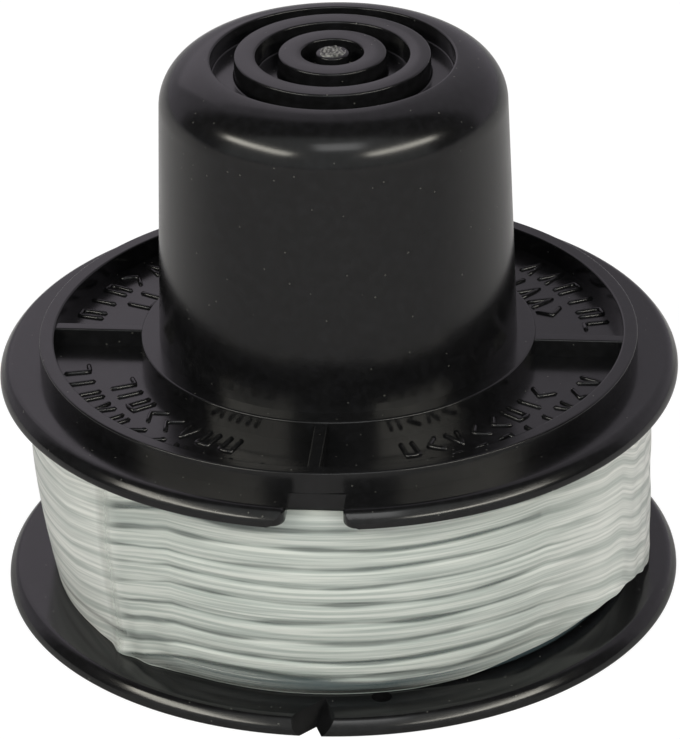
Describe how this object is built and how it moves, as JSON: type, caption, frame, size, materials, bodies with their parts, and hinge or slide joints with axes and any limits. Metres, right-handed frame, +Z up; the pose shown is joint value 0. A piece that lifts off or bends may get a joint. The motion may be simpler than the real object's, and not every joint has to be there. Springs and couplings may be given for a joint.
{
  "type": "trimmer line spool",
  "caption": "Black moulded bump-feed spool for a garden string trimmer: two flanges on a hollow drum, a tall round bump knob, wound with pale nylon line under clear film.",
  "frame": {"origin": "centre of the lower flange's underside, on the spool's axis", "axes": "+Z up along the spool's axis towards the bump knob, -Y towards the line notches"},
  "size_m": [0.067, 0.067, 0.0564],
  "materials": {
    "black_plastic": "moulded, semi-gloss",
    "nylon_line": "extruded monofilament, milky and glossy",
    "clear_film": "clear stretched film"
  },
  "bodies": {
    "root": {"spool_body": "black_plastic", "line_winding": "nylon_line", "film_wrap": "clear_film"}
  },
  "joints": []
}
